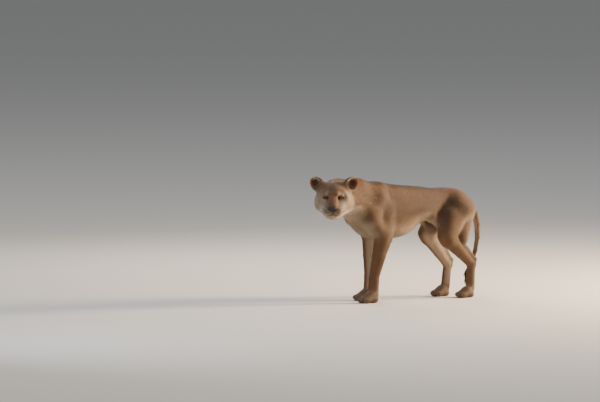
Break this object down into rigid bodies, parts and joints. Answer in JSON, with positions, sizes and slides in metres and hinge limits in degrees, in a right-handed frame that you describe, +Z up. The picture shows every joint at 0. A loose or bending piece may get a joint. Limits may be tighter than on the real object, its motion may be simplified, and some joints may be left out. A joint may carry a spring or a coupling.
{
  "type": "lioness",
  "caption": "Life-size still model of a lioness standing on all fours, body in profile, head turned to her left to look at the viewer.",
  "frame": {"origin": "on the floor, under the middle of the box round the whole lioness", "axes": "she faces -X, her left side is -Y, +Z is up; the head is turned about 55 degrees from -X towards -Y"},
  "size_m": [1.5116, 0.4644, 0.9442],
  "materials": {
    "coat": "short tawny fur, lying flat",
    "pale_hair": "short cream fur",
    "ear_hair": "short fur, rust brown at the rim and dark behind",
    "dark_hair": "long dark brown hair",
    "nose_leather": "bare, fine-grained, slightly moist",
    "eye": "wet, clear over an amber iris with a round pupil"
  },
  "bodies": {
    "root": {"chest": "coat", "belly": "coat", "hindquarters": "coat", "neck": "coat", "head": "coat", "shoulder_left": "coat", "shoulder_right": "coat", "forearm_left": "coat", "forearm_right": "coat", "forepaw_left": "coat", "forepaw_right": "coat", "thigh_left": "coat", "thigh_right": "coat", "shank_left": "coat", "shank_right": "coat", "hind_foot_left": "coat", "hind_foot_right": "coat", "tail_root": "coat", "tail_end": "coat", "tail_tuft": "dark_hair", "muzzle": "pale_hair", "lower_jaw": "pale_hair", "nose": "nose_leather", "ear_left": "ear_hair", "eye_left": "eye", "ear_right": "ear_hair", "eye_right": "eye"}
  },
  "joints": []
}
